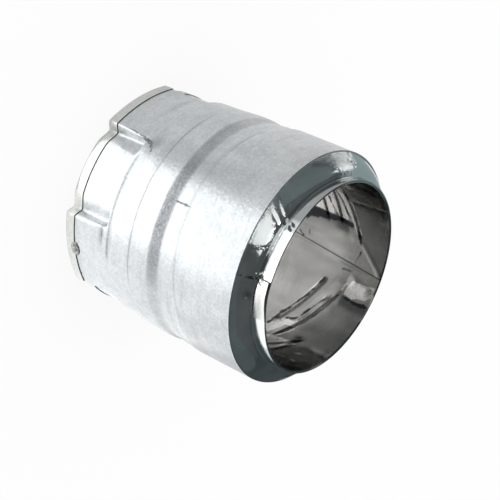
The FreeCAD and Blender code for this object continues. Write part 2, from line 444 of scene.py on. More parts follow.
# %% Lugs, ramp and barrel
jacket = lugged_ring("jacket_sheet", 0, jacket_start)
extrude(slot_end - jacket_start, 12)
rise = 0
start_r = mean_radius(jacket)
for step in range(1, ramp_rows + 1):
    next_rise = smooth(step / ramp_rows)
    height = slot_end + step / ramp_rows * (neck_start - slot_end)
    extrude((neck_start - slot_end) / ramp_rows)
    bpy.ops.transform.tosphere(value=(next_rise - rise) / (1 - rise), center_override=(0, 0, height))
    scale_round((start_r + (neck_r - start_r) * next_rise) / (start_r + (neck_r - start_r) * rise))
    rise = next_rise
scale_round(neck_r / mean_radius(jacket))
for start, end in zip(jacket_line, jacket_line[1:]):
    length = end[1] - start[1]
    follow(rows_between([start, end], 0.4 if length < 0.7 else 0.7 if length < 8 else 1.4))
print("jacket vertices", len(bmesh.from_edit_mesh(jacket.data).verts))

# %% [markdown]
# The jacket's own marks: the lap's step, small dents where the press pulled the sheet beside the slots,
# a pit at one slot's corner, a flat beside one weld, and a faint waviness. The barrel is the widest part
# and keeps its size, so the waves only press in.

# %% Lap, dents and waves of the jacket
mark_r = 45             # radius at which marks of the jacket are measured round it
neck_crease_z, step_crease_z = 21.9, 32.7
crease_depth = 0.12
cut_columns(jacket, jacket_seam, jacket_lap, jacket_start - 1, jacket_end + 1)
# Each dent's (height, angle) middle, half its height and width, and its depth
jacket_dents = [
    ((17.6, -122), 1.6, 5, 0.15), ((19.6, -113.5), 1.6, 1.6, 0.45), ((22.6, -112), 1.8, 1.2, 0.35),
    ((24.8, -109), 1, 2.4, 0.2), ((23, -116), 0.8, 1.6, 0.2), ((12.2, -45), 4, 5, 0.3),
    ((17.8, -60), 1.6, 6, 0.22),
]


def near_neck(angle):
    """Where the press marked the start of the neck, behind the near slot and lug."""
    return facing(angle, -78, 30, 6)


def jacket_mark(angle, r, z):
    # The lap's lift starts behind the lugs and fades on the barrel
    depth = 0.3 * lap_share(angle, jacket_seam, jacket_lap) * smooth((z - slot_end) / (neck_start - slot_end))
    depth *= 1 - 0.85 * smooth((z - 54) / 4)
    # Lugs ease down to the neck's radius before they end
    if z < neck_start:
        depth += (neck_r - r) * smooth((z - 10.5) / 9) * smooth((r - 43.6) / 0.7)
    depth -= 0.5 * crease_depth * near_neck(angle) * dome_share(abs(z - neck_crease_z), 0.5)
    step_share = 0.3 + 0.6 * facing(angle, -88, 44, 12)
    depth -= crease_depth * step_share * dome_share(abs(z - step_crease_z), 0.6)
    for middle, half_height, half_width, deep in jacket_dents:
        depth -= deep * oval_share((z, angle), middle, half_height, half_width, mark_r)
    return depth - 0.05 - 0.05 * wander(angle, z, 14, 3) - 0.02 * wander(angle, z, 5, 8)


pushed(jacket, jacket_mark)
finished(jacket, jacket_wall, "outer_jacket", slot="galvanised")

# %% [markdown]
# ## The lock ring
#
# The ring closes the lugged end. Its skirt slides inside the jacket, its rim shows below the jacket's
# edge and stands a little proud, and its web runs in to a hub that holds the liner. Skirt and rim follow
# the same lugs at two insets, so they are made as two sheets and bridged. The To Sphere operator then
# eases the web from the lugs to the round hub.

# %% Skirt, rim, web and hub
ring_proud = 0.3
ring_joint_z = 4.3
ring_skirt_top = 10.6
rim_round = 0.6
skirt_inset = 0.55
web_steps = 8
web_start_r = 43.4      # mean radius of the rim where the flat web starts
web_r = 39.1
hub_r = 37.6
hub_top = 9.0
ring_wall = 0.5

skirt = lugged_ring("ring_skirt", skirt_inset, ring_skirt_top)
extrude(ring_joint_z - ring_skirt_top, 6)
bpy.ops.object.mode_set(mode="OBJECT")

rim = lugged_ring("lug_ring", -ring_proud, ring_joint_z)
extrude(rim_round - ring_joint_z, 5)
follow(rolled_edge(lug_r + ring_proud - rim_round, rim_round, rim_round, 0, -90, 6))
for step in range(1, web_steps + 1):
    extrude(0)
    bpy.ops.transform.tosphere(value=1 / (web_steps + 1 - step), center_override=(0, 0, 0))
    scale_round((web_start_r + (web_r - web_start_r) * step / web_steps) / mean_radius(rim))
follow(rolled_edge(web_r, web_r - hub_r, web_r - hub_r, -90, -180, 6))
extrude(hub_top - web_r + hub_r, 6)
bpy.ops.object.mode_set(mode="OBJECT")

# %% Bridging skirt and rim
bpy.ops.object.select_all(action="DESELECT")
skirt.select_set(True)
rim.select_set(True)
bpy.context.view_layer.objects.active = rim
bpy.ops.object.join()
bpy.ops.object.mode_set(mode="EDIT")
pick(rim, lambda a, r, z: abs(z - ring_joint_z) < 0.01)
bpy.ops.mesh.bridge_edge_loops()
finished(rim, ring_wall, "lock_ring", slot="galvanised_ring")

# %% [markdown]
# ## The weld beads
#
# Two small beads of weld tack the ring to the jacket. Each is a drop of steel that spread before it froze.
# An ico sphere, which is made of even triangles, is squashed into a flat oval. A cloud texture gives it
# lumps, and it is laid across the joint. The second bead is a copy.

# %% One bead, copied to the far side
weld_angles = (-46.8, 133.2)
weld_size = (0.7, 6.2, 4.4)     # half its height off the sheet, then its length round and along the axis
weld_z = 4.45

bpy.ops.mesh.primitive_ico_sphere_add(subdivisions=5, radius=1, location=(0, 0, 0))
bead = bpy.context.object
bead.name = "weld_beads"
bpy.ops.transform.resize(value=(weld_size[0], weld_size[1] / 2, weld_size[2] / 2))
bpy.ops.object.transform_apply(scale=True)
lumps = bpy.data.textures.new("weld_lumps", "CLOUDS")
lumps.noise_scale = 1.1
lump = bead.modifiers.new("lumps", "DISPLACE")
lump.texture = lumps
lump.texture_coords = "LOCAL"
lump.mid_level = 0.5
lump.strength = 0.22
bpy.ops.object.modifier_apply(modifier=lump.name)
bpy.ops.transform.translate(value=(lug_r, 0, weld_z))
bpy.ops.object.transform_apply(location=True)
bpy.ops.object.mode_set(mode="EDIT")
bpy.ops.mesh.select_all(action="SELECT")
turn_round(weld_angles[0])
bpy.ops.mesh.duplicate_move()
turn_round(weld_angles[1] - weld_angles[0])
finished(bead, 0, "tack_welds", slot="weld")

# %% [markdown]
# ## The dome and the collar
#
# The stove end is one strip of thin stainless sheet: a skirt inside the jacket, a domed shoulder, a tight
# fold, and a short collar. Its ends overlap, and the outer one stands off at the rim. The strip is
# extruded from a ring up a Bezier curve. The dome was pressed higher on one side and lower on another, so
# the collar's rows are scaled flat towards the rim's height. The outer layer's step is raised on the dome,
# and its free end on the collar is a sheet of its own.

# %% Sizes of the stove end
dome_poles = [(45.5, jacket_end), (44.3, 84.3), (41.4, 87.9), (38.6, 87.9)]
dome_skirt_z = 74.4
fold_r = 0.5
collar_r = 38.1
collar_top = 92.3
collar_wall = 0.5
collar_seam = -74.0
collar_lap = 26.0
collar_gape = 1.7
stake_angles = (-164.0, -65.0, 16.0, 115.0)
stake_place = (43.1, 86.0)

# %% Skirt, dome, fold and collar
dome = new_ring("dome_and_collar", dome_poles[0][0], dome_skirt_z)
extrude(jacket_end - dome_skirt_z, 4)
follow(dome_curve(dome_poles, 22))
follow(rolled_edge(collar_r + fold_r, dome_poles[3][1] + fold_r, fold_r, -90, -180, 6))
fold_top = dome_poles[3][1] + fold_r


def fold_rise(angle):
    """How much higher, or lower where negative, the fold lies at an angle."""
    return 1.5 * dome_share(abs(turned(angle, -158)), 50) - 1.1 * dome_share(abs(turned(angle, -44)), 46)


pushed(dome, lambda a, r, z: fold_rise(a) * smooth((z - jacket_end - 0.2) / 5), "Z")
pick(dome, lambda a, r, z: r < collar_r + 0.005)
for rows_left in range(8, 0, -1):
    extrude(0)
    bpy.ops.transform.resize(value=(1, 1, (rows_left - 1) / rows_left), center_override=(0, 0, collar_top))
cut_columns(dome, collar_seam, collar_lap, jacket_end - 0.1, collar_top + 1)
finer(dome, lambda a, r, z: jacket_end < z < 88.3 and r > collar_r + 0.1 and abs(turned(a, -69.5)) < 8)
for angle in stake_angles:
    finer(dome, lambda a, r, z: abs(z - stake_place[1]) < 1.3 and r > 41 and abs(turned(a, angle)) < 4)
print("dome vertices", len(bmesh.from_edit_mesh(dome.data).verts))

# %% [markdown]
# Where the strip's ends overlap, its corner was crumpled in forming, and the dome was struck four times
# with a blunt punch, which left short oval marks.

# %% Lap, stake marks, wrinkles and gape of the stove end
wrinkles = [(-104.0, -0.06), (-106.5, 0.1), (-109.0, -0.07), (-111.5, 0.08)]     # angle and depth


def rim_gape(angle, z):
    """How far the rim was pulled outwards beside the collar's seam."""
    return 0.5 * smooth((z - 86.5) / 5.8) * smooth(1 - abs(turned(angle, -66)) / 15)


def stove_end_mark(angle, r, z):
    off_collar = smooth((r - collar_r - 0.1) / 0.5)
    on_dome = smooth((z - jacket_end) / 0.8) * off_collar
    depth = 0.45 * lap_share(angle, collar_seam, collar_lap) * smooth((z - jacket_end) / 3.5) * off_collar
    for stake in stake_angles:
        depth -= 0.55 * on_dome * oval_share((z, angle), (stake_place[1], stake), 1.1, 2.6, stake_place[0])
    for middle, deep in wrinkles:
        lean = middle + (z - 85.5) * 1.2
        depth += deep * on_dome * dome_share(abs(turned(angle, lean)), 1.3)
    corner = oval_share((z, angle), (88.0, -75.0), 2.2, 2.6, 38.5)
    depth += 0.5 * corner * (0.3 + wander(angle, z, 0.7, 5))
    if r < collar_r + 0.05:
        depth += rim_gape(angle, z)
    return depth - 0.02 * on_dome * (1 + wander(angle, z, 6, 2))


pushed(dome, stove_end_mark)
pick(dome, lambda a, r, z: z > collar_top - 0.1 and r < 39.5)
bpy.ops.transform.resize(value=(1, 1, 0), center_override=(0, 0, collar_top))
finished(dome, collar_wall, "end_collar", slot="stainless_end")

# %% [markdown]
# The strip's free end stands off the collar and shows its edge. It is a short piece of the same ring, with
# the columns it doesn't need deleted. Its faces are cut in four, so that its corner can be crumpled.

# %% The collar's free end
free_end = new_ring("collar_lap", collar_r, fold_top)
extrude(collar_top - fold_top, 12)
pick(free_end, lambda a, r, z: not -0.5 < turned(a, collar_seam) < collar_lap - 2.5)
bpy.ops.mesh.delete(type="VERT")
finer(free_end, lambda a, r, z: True)


def free_end_mark(angle, r, z):
    fade = lap_share(angle, collar_seam, collar_lap)
    share = smooth((z - fold_top) / (collar_top - fold_top))
    stand_off = (1.4 + (collar_gape - 1.4) * share) * smooth(fade * 1.3)
    crumple = oval_share((z, angle), (fold_top + 0.4, collar_seam + 1), 1.8, 2.4, collar_r)
    return stand_off + 0.5 * crumple * wander(angle, z, 0.8, 11)


pushed(free_end, lambda a, r, z: fold_rise(a) * (collar_top - z) / (collar_top - fold_top), "Z")
pushed(free_end, free_end_mark)
finished(free_end, collar_wall, "end_collar", slot="stainless_end")

# %% [markdown]
# ## The liner
#
# The flue liner carries the smoke. It is a plain tube of bright stainless sheet with one welded seam, and
# it was squeezed a little when the ends were pressed on, which left flat pleats and creases in it. A
# cylinder primitive would have faces as long as the tube, too long to bend, so a ring is extruded in rows
# again: wide ones low down, which no one sees, and 0.5 mm ones where the marks are.

# %% Tube and seam
liner_r = 37.55
liner_wall = 0.4
liner_low, liner_fine_z, liner_top = 2.0, 50.0, 92.05
liner = new_ring("liner_tube", liner_r, liner_low)
extrude(liner_fine_z - liner_low, 16)
extrude(liner_top - liner_fine_z, 84)
# The seam's (height, angle) places, then each crease's ends, push and reach, and each pleat's ends, push
# and reach on its flat and on its steep flank
liner_seam = [(0, 105), (53.5, 106.7), (72.5, 103.5), (93, 101.7)]
creases = [
    ((60.8, 50), (69.2, 88), -0.2, 1.8), ((69, 57), (74.8, 79), -0.2, 1.6),
    ((76, 145), (91, 147.5), -0.15, 1.2), ((75, 37), (73.6, 22), -0.2, 1.6),
    ((80, 119), (91, 104), -0.12, 1.5),
]
pleats = [
    ((57, 152), (63.8, 122), 0.4, 6, 0.9), ((64.5, 155), (70.5, 122), 0.4, 5, 0.9),
    ((69.5, 158), (79.8, 116), 0.4, 4, 0.9), ((64, 28), (79.5, 92), 0.5, 4.5, 1),
    ((66, 20), (79, 48), 0.6, 6, 1), ((79, 96), (91.9, 92), 0.3, 4, 1.2),
]


def liner_mark(angle, r, z):
    spot = (z, angle)
    depth = 0
    for start, end in zip(liner_seam, liner_seam[1:]):
        depth = min(depth, -0.2 * line_share(spot, start, end, 0.9, liner_r))
    for start, end, push, reach in creases:
        depth += push * line_share(spot, start, end, reach, liner_r)
    for start, end, push, low_reach, high_reach in pleats:
        depth -= push * pleat_share(spot, start, end, low_reach, high_reach, liner_r)
    return depth + rim_gape(angle, z) + 0.12 * wander(angle, z, 16, 4) - 0.1


pushed(liner, liner_mark)
finished(liner, liner_wall, "flue_liner", slot="stainless_liner")

# %% [markdown]
# ## Painted highlights and painted shade
#
# Highlights are painted bright on the flanks of the liner's pleats, and shadow is painted dark in their
# creases.
# In the liner these are patches and strokes, each a list of (height, angle) places, with half a width in a
# stroke. A picture pasted on the tube would blur, and could not follow the folds. Painted shade with soft
# edges is written as a plain share from 0 to 1.

# %% Painted highlights on the flanks and painted shadow in the creases of the liner
# Patches and strokes of painted highlight on the flanks of the pleats
fingers = [
    [(62.3, 141.5), (65.8, 135), (66, 131), (64.3, 127.7), (62.5, 129.5), (61.5, 130.5), (55, 129.5),
     (54, 134), (60, 141)],
    [(66.5, 149.5), (69.8, 142), (71.2, 136), (73, 131), (72, 129.6), (69, 130), (67.3, 133),
     (65.2, 137.5), (63.6, 143), (62.5, 146)],
    [(67, 152), (71.5, 148.5), (74.3, 144), (76, 137.5), (78, 130.5), (79.4, 123.5), (78.3, 122.3),
     (76.3, 127), (74.4, 133), (71.8, 139.5), (69.2, 147)],
    [(74.5, 161), (77.5, 156.5), (74, 155.5), (70.5, 157.5)],
]
flanks = [
    [(91.6, 95.5), (92.2, 90), (89.5, 86.5), (84, 84.2), (80.2, 85), (80, 88.5), (81.5, 93.8)],
    [(72.3, 59.5), (71.8, 51.5), (69.5, 50.2), (66.5, 50.5), (63.5, 52), (63.8, 54.5), (69.6, 54.5),
     (70.6, 59.5)],
    [(66.8, 50.5), (65.8, 45), (64, 38), (60, 42), (60.2, 49), (62.5, 52)],
    [(77.8, 40), (75.2, 32), (73, 23), (68.5, 26), (64, 34), (66.5, 37.5), (72, 38.5)],
]
flank_strokes = [
    [(79.4, 92, 0.3), (77.8, 83, 0.8), (74.8, 72, 0.9), (72.6, 63, 0.8), (71.4, 57, 0.9)],
    [(71.2, 50, 0.5), (69, 44, 0.5), (68, 39, 0.4)], [(78, 21.5, 0.3), (84.5, 23, 0.6)],
    [(84, 35, 0.3), (81, 32, 0.4)],
]
# Patches of painted shade beside the folds
shaded_patches = [
    [(55, 129.8), (66, 129.8), (75.5, 128.8), (76, 125.5), (70, 126.5), (62, 124.5), (55, 122),
     (53, 118), (52, 124)],
]
# Strokes of painted shadow along the creases and between the bright flanks
crease_strokes = [
    [(77.6, 126.5, 0.4), (79.2, 121, 0.8), (80.3, 116.5, 0.4)],
    [(63, 144, 0.3), (64.2, 138, 0.4), (66.6, 132.5, 0.35), (68.5, 129.8, 0.3)],
    [(66.8, 151, 0.3), (70.3, 142.5, 0.4), (71.7, 137, 0.45), (73.8, 131, 0.3)],
    [(75, 144.5, 0.3), (83, 147, 0.35), (91.5, 147.5, 0.2)],
    [(69.3, 89, 0.4), (67, 79, 0.5), (64, 68, 0.6), (61.6, 58, 0.7), (60.4, 46, 0.6)],
    [(74.8, 79, 0.3), (72.5, 73, 0.5), (70, 64, 0.6), (68.8, 57.5, 0.6), (65, 54.8, 0.4)],
    [(77.8, 38.5, 0.25), (75.2, 31, 0.6), (73.6, 22, 0.5)],
    [(80, 83.5, 0.3), (86, 82.2, 0.8), (91.5, 83, 0.7)],
    [(80.8, 113, 0.12), (79.4, 106, 0.18), (79.2, 100.5, 0.12)], [(79.5, 99.5, 0.25), (75, 98.8, 0.2)],
    [(55.2, 113, 0.15), (56, 109.5, 0.2), (53.5, 107.5, 0.2), (51, 110, 0.2)],
]
shade_edge = [(84, 110), (103, 92), (112, 84), (118, 80.2), (137, 76), (152, 70)]     # angle and height


def liner_shade(angle, r, z):
    """Painted shade beside the folds and towards the rim, and over all that lies above the shade's edge."""
    beside_fold = smooth((131 - angle) / 2) * smooth((angle - 117) / 11)
    shares = [
        0.8 * beside_fold * smooth((z - 52) / 4) * smooth((77 - z) / 2),
        0.82 * smooth((84 - angle) / 1.5) * smooth((angle - 72) / 8) * smooth((z - 78.5) / 2),
        0.3 * smooth((80 - angle) / 4) * smooth((z - 70 - (angle - 42) * 0.2) / 3),
        0.25 * smooth((44 - angle) / 8) * smooth((z - 74.5) / 3),
    ]
    if shade_edge[0][0] < angle <= shade_edge[-1][0]:
        shares.append(0.52 * smooth((z - between(angle, shade_edge)) / 2.5 + 0.4))
    if angle > 150:
        shares.append(0.4 * smooth((z - 72 - (angle - 150) * 0.2) / 3))
    return max(shares)


def inner_wall(angle, r, z):
    """The half of the inside that is seen over the rim."""
    return r < liner_r - 0.1 and z > 48 and 5 < angle < 179.9


# Painted highlights on the pleats' flanks, painted shadow in their creases, and painted shade
painted_highlight = fingers + flanks
painted(liner, "painted_highlight", lambda a, r, z: deepest((z, a), painted_highlight, flank_strokes, liner_r), inner_wall)
painted(liner, "painted_shadow", lambda a, r, z: deepest((z, a), shaded_patches, crease_strokes, liner_r), inner_wall)
painted(liner, "shade", liner_shade, inner_wall, 0)

# %% [markdown]
# Two patches of the dome are scuffed, so they are rougher and scratched. Painted shadow lies along the seam
# and in a soft rim round each stake mark, painted shade on the collar's left, and small dark spots on the
# collar.

# %% Painted shadow, painted shade and dark spots of the dome, and its scuffed places
scuffs = [
    [(82.5, -88.5), (85.5, -88.5), (87.6, -90.5), (87.8, -96), (86.4, -101), (84.5, -108), (82.5, -113.5)],
    [(82.5, -140), (85, -146), (88.6, -152), (89.2, -164), (86, -167), (82.5, -166)],
]
collar_spots = [(88.8, -102.5), (91, -102), (92.4, -103.5), (92.4, -107.5), (90.5, -109), (88.8, -108)]


def negative(angle):
    """The same angle between -270 and 90 degrees, so that no patch crosses the jump."""
    return angle if angle < 90 else angle - 360


def dome_dark(angle, r, z):
    """Painted shadow along the seam, and dark spots on the collar."""
    found = 0.15 - abs(turned(angle, collar_seam + 0.1)) * math.radians(r)
    if r < collar_r + 0.2:
        spots = patch_inside((z, negative(angle)), collar_spots, collar_r)
        found = max(found, min(spots, 0.9) - 0.7 + 1.6 * wander(angle, z, 1.3, 7))
    return max(found, far_outside)


def dome_shade(angle, r, z):
    """Painted shade on the collar's left, and painted shadow in a soft rim round each stake mark."""
    stake_r, stake_z = stake_place
    shares = [0.6 * oval_share((z, angle), (stake_z + 0.2, stake), 1.3, 3, stake_r) for stake in stake_angles]
    if r < collar_r + 0.2:
        shares.append(0.55 * smooth((-108 - negative(angle)) / 3) * smooth((negative(angle) + 190) / 30))
    return max(shares)


def above_jacket(angle, r, z):
    return z > jacket_end - 0.1


def outer_dome(angle, r, z):
    return above_jacket(angle, r, z) and r > collar_r + 0.1


# Painted shadow and dark spots, scuffs, and painted shade of the dome
painted(dome, "painted_shadow", dome_dark, above_jacket)
painted(dome, "scuffed", lambda a, r, z: deepest((z, negative(a)), scuffs, [], stake_place[0]), outer_dome)
painted(dome, "shade", dome_shade, above_jacket, 0)

# %% [markdown]
# Painted shade darkens the zinc in the groove, the creases and the dents, and painted shadow lies in the pit
# beside one slot and along the lap's edge. The groove's share changes round the tube, so it is read from a
# table.

# %% Painted shade and painted shadow of the jacket
# Strokes of painted shadow in the pit beside a slot and along the lap's edge
pit_strokes = [
    [(6, -115.8, 0.1), (14, -115, 0.2), (20, -114.2, 0.45), (23.4, -112, 0.7), (26.2, -107, 0.3)],
    [(23.4, -112, 0.6), (22.8, -118, 0.35)], [(47.4, -92.3, 0.35), (54, -92.1, 0.42)],
]
groove_shade = [
    (-180, 0.15), (-150, 0.15), (-140, 0.3), (-120, 0.35), (-108, 0.6), (-75, 0.7), (-62, 0.55), (-45, 0.12),
    (0, 0.15), (180, 0.15),
]
# Each darker oval's share, its (height, angle) middle, and half its height and width
darker_ovals = [
    (0.75, (18.1, -62.5), 1.6, 7), (0.4, (24.5, -113.5), 4.5, 5), (0.25, (17, -140), 2.5, 14),
    (0.3, (12, -155.5), 4, 2.5),
]


def jacket_shade(angle, r, z):
    """Painted shade in the groove, below it, in both creases, down the barrel's front and in the darker ovals.
    """
    front = facing(angle, -92, 60, 20)
    soft_line = 53.3 + 0.0009 * turned(angle, -110) ** 2
    shares = [
        between(angle, groove_shade) * smooth((3.1 - abs(z - 44.9)) / 1.2),
        (0.1 + 0.22 * front) * dome_share(abs(z - soft_line), 0.9),
        0.5 * front * dome_share(abs(z - step_crease_z), 0.75),
        0.55 * near_neck(angle) * dome_share(abs(z - neck_start), 1.1),
        0.16 * facing(angle, -111, 13, 9) * smooth((z - 24) / 8) * smooth((78 - z) / 8),
    ]
    return max(shares + [share * oval_share((z, angle), *oval, mark_r) for share, *oval in darker_ovals])


# Painted shadow in the pit and along the lap's edge, and painted shade
painted(jacket, "painted_shadow", lambda a, r, z: deepest((z, negative(a)), [], pit_strokes, mark_r))
painted(jacket, "shade", jacket_shade)

# %% [markdown]
# ## Finishes
#
# All patterns are made by noise textures on Object coordinates, in metres, so a scale of 1000 gives
# features of about a millimetre. Nodes could be placed by hand in the Shader Editor just as well, but a
# number is easier to find and change in a line of text. Helpers keep those lines short.

# %% Helpers for building a finish
def add_node(tree, kind, *inputs, **settings):
    """Add a node to a tree; an input is a (name or number, value or socket) pair."""
    node = tree.nodes.new("ShaderNode" + kind)
    for key, value in settings.items():
        setattr(node, key, value)
    for name, value in inputs:
        if isinstance(value, bpy.types.NodeSocket):
            tree.links.new(value, node.inputs[name])
        else:
            node.inputs[name].default_value = value
    return node


class Finish:
    """A metal with its nodes: the shader, the coordinates and the ways to add patterns."""

    def __init__(self, piece, name):
        material = bpy.data.materials.new(name)
        material.use_nodes = True
        piece.data.materials.append(material)
        self.tree = material.node_tree
        self.shader = self.tree.nodes["Principled BSDF"]
        self.shader.inputs["Metallic"].default_value = 1
        self.place = self.add("TexCoord").outputs["Object"]

    def add(self, kind, *inputs, **settings):
        return add_node(self.tree, kind, *inputs, **settings)

    def stretched(self, x, y, z):
        """Coordinates with each direction scaled."""
        return self.add("Mapping", ("Vector", self.place), ("Scale", (x, y, z))).outputs[0]

    def line_at(self, angle, lean, half, soft):
        """1 on a line along the tube that leans by lean degrees for each millimetre of height."""
        parts = self.add("SeparateXYZ", ("Vector", self.place)).outputs
        found = self.times(self.math("ARCTAN2", parts["Y"], parts["X"]), 180 / math.pi)
        found = self.plus(found, self.times(parts["Z"], lean / MM))
        away = self.math("ABSOLUTE", self.math("SUBTRACT", found, angle))
        return self.mapped(away, half, half + soft, 1, 0)

    def noise(self, scale, detail=3, where=None, rough=0.5, warp=0):
        return self.add("TexNoise", ("Vector", where or self.place), ("Scale", scale), ("Detail", detail),
                        ("Roughness", rough), ("Distortion", warp)).outputs["Fac"]

    def mapped(self, value, low, high, to_low, to_high, smooth=True):
        kind = "SMOOTHSTEP" if smooth else "LINEAR"
        return self.add("MapRange", ("Value", value), ("From Min", low), ("From Max", high),
                        ("To Min", to_low), ("To Max", to_high), interpolation_type=kind).outputs["Result"]

    def math(self, operation, a, b=0.0):
        return self.add("Math", (0, a), (1, b), operation=operation).outputs[0]

    def plus(self, a, b):
        return self.math("ADD", a, b)

    def times(self, a, b):
        return self.math("MULTIPLY", a, b)

    def blend(self, *parts):
        """Sum of (socket, weight) parts."""
        total = 0.0
        for socket, weight in parts:
            total = self.plus(total, self.times(socket, weight))
        return total

    def mixed(self, share, a, b):
        """Colour between a and b."""
        a, b = ((*colour, 1) if isinstance(colour, tuple) else colour for colour in (a, b))
        return self.add("Mix", (0, share), (6, a), (7, b), data_type="RGBA").outputs[2]

    def mark(self, name, ragged, scale, soft, most=1):
        """Share of a painted mark, up to most, with an edge that frays by ragged and eases over soft."""
        fray = self.mapped(self.noise(scale), 0.3, 0.7, -ragged, ragged, smooth=False)
        return self.mapped(self.plus(self.painted(name), fray), -soft, soft, 0, most)

    def painted(self, name):
        return self.add("Attribute", attribute_name=name).outputs["Fac"]

    def bumps(self, *layers):
        """Chain bump nodes; a layer is (height socket, depth in metres)."""
        normal = None
        for height, depth in layers:
            inputs = [("Height", height), ("Distance", depth)]
            if normal:
                inputs.append(("Normal", normal))
            normal = self.add("Bump", *inputs).outputs[0]
        self.tree.links.new(normal, self.shader.inputs["Normal"])

    def surface(self, colour, roughness):
        self.tree.links.new(colour, self.shader.inputs["Base Color"])
        self.tree.links.new(roughness, self.shader.inputs["Roughness"])


# %% [markdown]
# ### Galvanised sheet
#
# Hot zinc freezes on steel in crystals, the spangle, a few millimetres wide and each a little lighter or
# darker. Over it lies a fine grain, like orange peel, and faint streaks round the tube from the rollers.
# The grain is a bump, so it only shows where light and dark meet in the reflection, as on the real sheet.

# %% The jacket's finish
def galvanised(piece, name, dark, light, rough, marked):
    zinc = Finish(piece, name)
    spangle = zinc.add("TexVoronoi", ("Vector", zinc.place), ("Scale", 420.0)).outputs["Color"]
    crystal = zinc.add("SeparateColor", ("Color", spangle)).outputs[0]
    grain = zinc.noise(1100, 2)
    clouds = zinc.noise(38, 4, warp=0.6)
    streaks = zinc.noise(90, 3, where=zinc.stretched(1, 1, 9))
    mottle = zinc.blend((crystal, 0.1), (grain, 0.5), (clouds, 0.5), (streaks, 0.25))
    base = zinc.mixed(zinc.mapped(mottle, 0.45, 0.95, 0, 1), dark, light)
    smears = zinc.mapped(zinc.noise(30, 5, where=zinc.stretched(1, 1, 3), warp=1.0), 0.55, 0.75, 0, 0.35)
    base = zinc.mixed(smears, base, tuple(0.75 * c for c in dark))
    if marked:
        # Painted shade, speckled, then painted shadow in the pit and along the lap's edge
        specks = zinc.mapped(zinc.noise(1000, 3, where=zinc.stretched(1, 1, 2)), 0.36, 0.64, 0.8, 1.1)
        base = zinc.mixed(zinc.times(zinc.painted("shade"), specks), base, (0.06, 0.065, 0.075))
        base = zinc.mixed(zinc.mark("painted_shadow", 0.25, 500, 0.25, 0.8), base, (0.07, 0.07, 0.075))
    zinc.surface(base, zinc.mapped(mottle, 0.4, 1.0, rough + 0.05, rough - 0.04))
    peel = zinc.noise(750, 2, rough=0.4)
    zinc.bumps((clouds, 0.00005), (streaks, 0.00003), (peel, 0.0001), (crystal, 0.000002))


galvanised(jacket, "galvanised_sheet", (0.42, 0.44, 0.45), (0.57, 0.59, 0.6), 0.33, True)
galvanised(rim, "galvanised_ring_sheet", (0.46, 0.47, 0.45), (0.62, 0.63, 0.61), 0.4, False)

# %% [markdown]
# ### Weld metal
#
# The beads are dull grey and rough. One noise makes them lumpy, patchy and unevenly dull at once.

# %% The beads' finish
weld = Finish(bead, "weld_metal")
lumps = weld.noise(900, 4)
weld.surface(weld.mixed(weld.mapped(lumps, 0.35, 0.65, 0, 1), (0.2, 0.2, 0.19), (0.42, 0.42, 0.4)),
             weld.mapped(lumps, 0.3, 0.7, 0.62, 0.42))
weld.bumps((lumps, 0.00025))

# %% [markdown]
# ### Stainless sheet
#
# The dome, the collar and the liner are bright rolled stainless. It mirrors the studio, softened by fine
# lines round the tube, and faint waves make its reflections wander.

# %% The dome's and the liner's finish
def stainless(piece, name, dark, light, rough, wave, lines, marks=(), seam=None):
    steel = Finish(piece, name)
    haze = steel.noise(60, 4, warp=0.8)
    fine = steel.noise(260, 3, where=steel.stretched(1, 1, 14))
    base = steel.mixed(steel.mapped(haze, 0.35, 0.68, 0, 1), dark, light)
    smear = steel.blend((haze, 0.5), (fine, 0.5))
    dull = steel.mapped(smear, 0.35, 0.65, rough - 0.03, rough + 0.08)
    layers = [(steel.noise(45, 2), wave), (fine, lines)]
    # Painted shade
    if "shade" in marks:
        base = steel.mixed(steel.painted("shade"), base, (0.065, 0.072, 0.078))
    # Painted highlights, streaked, where the steel is also made rougher
    if "painted_highlight" in marks:
        streaks = steel.mapped(steel.noise(120, 3, where=steel.stretched(1, 1, 4)), 0.3, 0.7, 0.75, 1)
        highlight_share = steel.times(steel.mark("painted_highlight", 0.5, 300, 0.25), streaks)
        base = steel.mixed(highlight_share, base, (0.95, 0.94, 0.93))
        dull = steel.plus(dull, steel.mark("painted_highlight", 0.5, 300, 0.5, 0.12))
    # Painted shadow in the creases and along the lap's edge, and dark spots on the collar
    if "painted_shadow" in marks:
        base = steel.mixed(steel.mark("painted_shadow", 0.4, 400, 0.35, 0.93), base, (0.03, 0.03, 0.035))
    if "scuffed" in marks:
        scuff = steel.mark("scuffed", 0.8, 350, 1.0)
        scratches = steel.noise(25, 4, where=steel.stretched(1, 1, 20), rough=0.7)
        dull = steel.plus(dull, steel.times(scuff, 0.1))
        layers.append((steel.times(scratches, scuff), 0.00025))
        layers.append((steel.times(steel.noise(500, 2), scuff), 0.00003))
    if seam:
        base = steel.mixed(steel.times(steel.line_at(*seam, 0.22, 0.25), 0.85), base, (0.05, 0.05, 0.055))
    steel.surface(base, dull)
    steel.bumps(*layers)


stainless(dome, "stainless_end", (0.6, 0.63, 0.63), (0.7, 0.72, 0.72), 0.1, 0.0002, 0.000006,
          marks=("shade", "painted_shadow", "scuffed"))
stainless(free_end, "stainless_free_end", (0.72, 0.73, 0.71), (0.82, 0.83, 0.81), 0.25, 0.0002, 0.000006)
stainless(liner, "stainless_liner", (0.38, 0.378, 0.37), (0.49, 0.488, 0.48), 0.11, 0.00028, 0.000003,
          marks=("shade", "painted_highlight", "painted_shadow"), seam=(115, 0.145))

# %% [markdown]
# ## Studio
#
# Bright metal has hardly any colour of its own: it shows the studio. So the studio is laid out as for a
# photograph of metal. The floor is white. The sky is white to the camera, but in the metal it is grey low
# down and dark overhead, which makes the dome dark. Lit and dark cards, seen only in the metal, do the rest.

# %% World: white to the camera, dark overhead in the metal
def cleared(owner):
    """The empty node tree of a new world or material."""
    owner.use_nodes = True
    owner.node_tree.nodes.clear()
    return owner.node_tree


